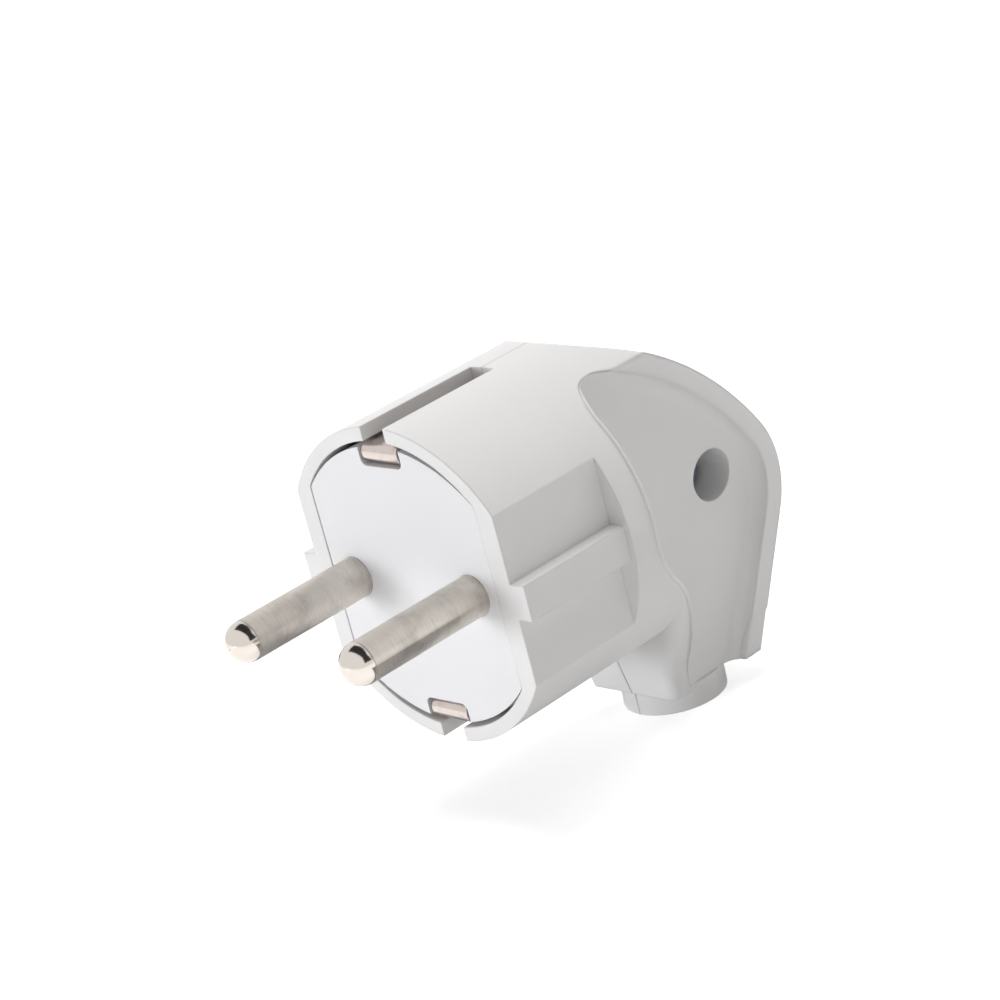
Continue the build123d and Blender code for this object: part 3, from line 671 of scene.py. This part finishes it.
class PLUG_OT_dress_carrier(bpy.types.Operator):
    """Gives the contact carrier its fine matt white plastic and the seats round the pins"""

    bl_idname = "plug.dress_carrier"
    bl_label = "Dress contact carrier"

    def execute(self, context):
        material = moulded_polyamide(
            "spark_textured_polyamide_white",
            tuple(context.scene.plug_finish.carrier_colour),
            linear("#EEEDEE"),
            roughness=0.5,
            grain_mm=0.16,
            grain_depth_mm=0.004,
            edge_mm=0.08,
        )
        dress("contact_carrier", material)
        pin_seat("pin_seat_right", PIN_X, material)
        pin_seat("pin_seat_left", -PIN_X, material)
        return {"FINISHED"}


class PLUG_OT_dress_contacts(bpy.types.Operator):
    """Gives the pins their nickel and rolls the earth strap"""

    bl_idname = "plug.dress_contacts"
    bl_label = "Dress pins and earth strap"

    def execute(self, context):
        finish = context.scene.plug_finish
        pin = brushed_nickel_pin(
            "turned_brass_nickel_brushed",
            tuple(finish.pin_colour),
            linear("#6E665D"),
            scratch_mm=0.11,
            dome_start_mm=DOME_START,
        )
        strap = rolled_nickel_strip(
            "rolled_spring_strip_nickel", tuple(finish.strap_colour), linear("#8A7F78"), line_mm=0.08
        )
        dress("pin_right", pin)
        dress("pin_left", pin)
        strap_object("strap_rolled", strap)
        return {"FINISHED"}


class PLUG_OT_dress_fasteners(bpy.types.Operator):
    """Gives the screws, the nuts, the clamp plate and the cord clamp their finishes"""

    bl_idname = "plug.dress_fasteners"
    bl_label = "Dress fasteners"

    def execute(self, context):
        finish = context.scene.plug_finish
        zinc = plated_metal(
            "zinc_plated_steel", tuple(finish.screw_colour), linear("#8D97A1"), roughness=0.3, mottle_mm=0.18
        )
        brass = plated_metal(
            "stamped_brass_plain", tuple(finish.brass_colour), linear("#A9853F"), roughness=0.32, mottle_mm=0.25
        )
        for name in (
            "casing_screw",
            "casing_nut",
            "terminal_screw_right",
            "terminal_screw_left",
            "earth_screw",
            "clamp_screw_front",
            "clamp_screw_rear",
        ):
            dress(name, zinc)
        dress("earth_nut", brass)
        dress("earth_clamp_plate", brass)
        clamp = moulded_polyamide(
            "moulded_polyamide_clamp",
            tuple(finish.clamp_colour),
            linear("#D2D5D8"),
            roughness=0.5,
            grain_mm=0.2,
            grain_depth_mm=0.003,
            edge_mm=0.12,
        )
        dress("cord_clamp", clamp)
        return {"FINISHED"}


class PLUG_OT_add_seams(bpy.types.Operator):
    """Adds the parting line that runs round the casing where its halves meet"""

    bl_idname = "plug.add_seams"
    bl_label = "Add parting line"

    def execute(self, context):
        detail = context.scene.plug_detail
        half = detail.seam_width / MM / 2
        lip = detail.seam_lip / MM
        material = seam_plastic(
            "parting_line_plastic", linear("#E6E6E6"), linear("#B3A389"), hairline_mm=half * 0.5
        )
        seam_strip("seam_back", back_outline(), 1, half, lip, material)
        seam_strip("seam_front", front_outline(), -1, half, lip, material)
        return {"FINISHED"}


class PLUG_OT_set_stage(bpy.types.Operator):
    """Adds the floor, the surrounding light, the lamps, the cards of painted dark reflection and the camera"""

    bl_idname = "plug.set_stage"
    bl_label = "Set stage"

    def execute(self, context):
        stage = context.scene.plug_stage
        add_floor()
        add_world(stage.ambient)
        for name, place, size, level, colour in LAMPS:
            add_lamp(name, place, size, getattr(stage, level), colour)
        for name, grey, corners in REFLECTION_CARDS:
            add_reflection_card(name, corners, grey)
        add_camera()
        context.scene.view_settings.view_transform = "Standard"
        return {"FINISHED"}


# ---- Stage


def white_to_the_eye(tree):
    """1 for rays that carry the background to the camera, a reflection or a view through glass."""
    path = add_node(tree, "ShaderNodeLightPath").outputs
    seen = combine(tree, "MAXIMUM", path["Is Camera Ray"], path["Is Glossy Ray"])
    return combine(tree, "MAXIMUM", seen, path["Is Transmission Ray"])


def add_floor():
    """A plain white floor under the collar that still takes the object's soft shadow."""
    material, tree, output = new_material("floor_white")
    matt = add_node(tree, "ShaderNodeBsdfDiffuse", {"Color": (FLOOR_TONE, FLOOR_TONE, FLOOR_TONE, 1.0)})
    level = combine(tree, "MULTIPLY", white_to_the_eye(tree), FLOOR_GLOW)
    glow = add_node(tree, "ShaderNodeEmission", {"Color": (*WHITE, 1.0)}, {"Strength": level})
    both = add_node(tree, "ShaderNodeAddShader", {}, {0: matt.outputs[0], 1: glow.outputs[0]})
    tree.links.new(both.outputs[0], output.inputs["Surface"])
    size, height = FLOOR_HALF, COLLAR_FOOT * MM
    corners = [(-size, -size, height), (size, -size, height), (size, size, height), (-size, size, height)]
    stage_object("floor", corners, material)


def add_world(ambient):
    """White surroundings for the eye and for reflections, and an even softer level as light."""
    world = bpy.data.worlds.new("studio")
    world.use_nodes = True
    tree = world.node_tree
    tree.nodes.clear()
    level = remap(tree, white_to_the_eye(tree), 0.0, 1.0, ambient, 1.0)
    sky = add_node(tree, "ShaderNodeBackground", {"Color": (*WHITE, 1.0)}, {"Strength": level})
    add_node(tree, "ShaderNodeOutputWorld", {}, {"Surface": sky.outputs[0]})
    bpy.context.scene.world = world


def add_lamp(name, place, size, power, colour):
    """A square soft lamp that faces the plug and that reflections don't show."""
    light = bpy.data.lights.new(name, "AREA")
    light.color = colour
    light.energy = power
    light.size = size
    lamp = bpy.data.objects.new(name, light)
    lamp.location = place
    lamp.rotation_euler = (Vector(LAMP_AIM) - Vector(place)).to_track_quat("-Z", "Y").to_euler()
    lamp.visible_glossy = False
    bpy.context.scene.collection.objects.link(lamp)


def add_reflection_card(name, corners, grey):
    """A glowing grey card that only reflections show: a painted dark reflection on bright metal and gloss."""
    material, tree, output = new_material(name)
    tone = add_node(tree, "ShaderNodeEmission", {"Color": (grey, grey, grey, 1.0)})
    tree.links.new(tone.outputs[0], output.inputs["Surface"])
    card = stage_object(name, corners, material)
    # Hidden from the eye, from light and from shadow, so that it paints only reflections
    card.visible_camera = card.visible_diffuse = card.visible_shadow = card.visible_transmission = False


def add_camera():
    """Camera in front, to the right and above, turned about its own axis. It is shifted sideways so that the
    plug's origin falls on its pixel."""
    azimuth, elevation, roll = CAMERA_TURN
    back = Vector(
        (math.sin(azimuth) * math.cos(elevation), -math.cos(azimuth) * math.cos(elevation), math.sin(elevation))
    )
    right = (-back).cross(Vector((0, 0, 1))).normalized()
    up = right.cross(-back)
    turned_right = math.cos(roll) * right + math.sin(roll) * up
    turned_up = -math.sin(roll) * right + math.cos(roll) * up
    shift_x, shift_y = [(pixel - PICTURE / 2) / CAMERA_FOCAL * CAMERA_DISTANCE for pixel in CAMERA_ORIGIN]
    place = (-shift_x * turned_right + shift_y * turned_up + CAMERA_DISTANCE * back) * MM
    data = bpy.data.cameras.new("camera")
    data.sensor_width = SENSOR
    data.lens = CAMERA_FOCAL / PICTURE * SENSOR
    data.clip_start = 0.01
    data.clip_end = 20.0
    camera = bpy.data.objects.new("camera", data)
    axes = Matrix((turned_right, turned_up, back)).transposed()
    camera.matrix_world = Matrix.Translation(place) @ axes.to_4x4()
    bpy.context.scene.collection.objects.link(camera)
    bpy.context.scene.camera = camera


# ---- Panel and start


class PLUG_PT_panel(bpy.types.Panel):
    """Lists the plug's settings and steps"""

    bl_idname = "PLUG_PT_panel"
    bl_label = "Angled earthed plug"
    bl_space_type = "VIEW_3D"
    bl_region_type = "UI"
    bl_category = "Plug"

    def draw(self, context):
        scene = context.scene
        for group in (scene.plug_finish, scene.plug_detail, scene.plug_stage):
            box = self.layout.box()
            for key in group.__annotations__:
                box.prop(group, key)
        for step in STEPS:
            self.layout.operator(step.bl_idname)


STEPS = (
    PLUG_OT_dress_casing,
    PLUG_OT_dress_carrier,
    PLUG_OT_dress_contacts,
    PLUG_OT_dress_fasteners,
    PLUG_OT_add_seams,
    PLUG_OT_set_stage,
)
GROUPS = {"plug_finish": PlugFinishSettings, "plug_detail": PlugDetailSettings, "plug_stage": PlugStageSettings}


def register():
    for group in GROUPS.values():
        bpy.utils.register_class(group)
    for name, group in GROUPS.items():
        setattr(bpy.types.Scene, name, bpy.props.PointerProperty(type=group))
    for step in (*STEPS, PLUG_PT_panel):
        bpy.utils.register_class(step)


def unregister():
    for step in (*STEPS, PLUG_PT_panel):
        bpy.utils.unregister_class(step)
    for name, group in GROUPS.items():
        delattr(bpy.types.Scene, name)
        bpy.utils.unregister_class(group)


def main():
    """Registers the add-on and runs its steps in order."""
    register()
    for step in STEPS:
        group, name = step.bl_idname.split(".")
        getattr(getattr(bpy.ops, group), name)()


if __name__ == "__main__":
    main()
